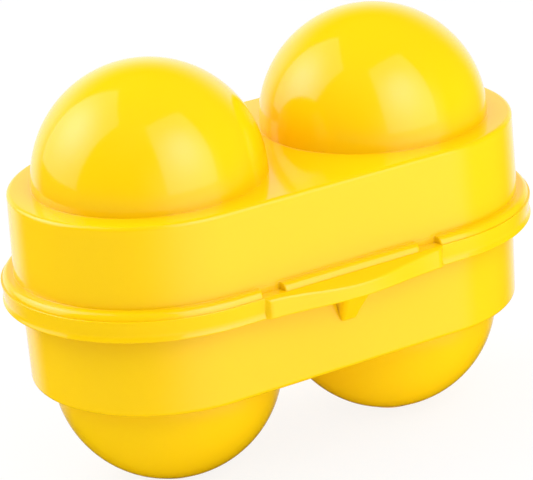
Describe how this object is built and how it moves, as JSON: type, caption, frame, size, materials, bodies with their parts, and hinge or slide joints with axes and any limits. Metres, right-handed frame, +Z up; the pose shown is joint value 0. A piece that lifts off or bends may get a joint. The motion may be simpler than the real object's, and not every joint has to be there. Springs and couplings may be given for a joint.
{
  "type": "camping egg box",
  "caption": "Moulded carrier with domed egg cups above and below, a clip hinge along the back and a thumb catch in front.",
  "frame": {"origin": "on the surface the box stands on, under the middle of the box", "axes": "+X along the box from cup to cup, +Y towards the hinge, -Y the front with the thumb catch, +Z up"},
  "size_m": [0.123, 0.0728, 0.0918],
  "materials": {
    "shell_plastic": "glossy injection-moulded yellow polypropylene, smooth, with soft lamp reflections"
  },
  "bodies": {
    "base_shell": {"base": "shell_plastic"},
    "lid_shell": {"lid": "shell_plastic"}
  },
  "joints": [
    {"name": "lid_hinge", "type": "hinge", "parent": "base_shell", "child": "lid_shell", "pos_m": [0, 0.03385, 0.0474], "axis": [-1, 0, 0], "range_deg": [0, 180]}
  ]
}
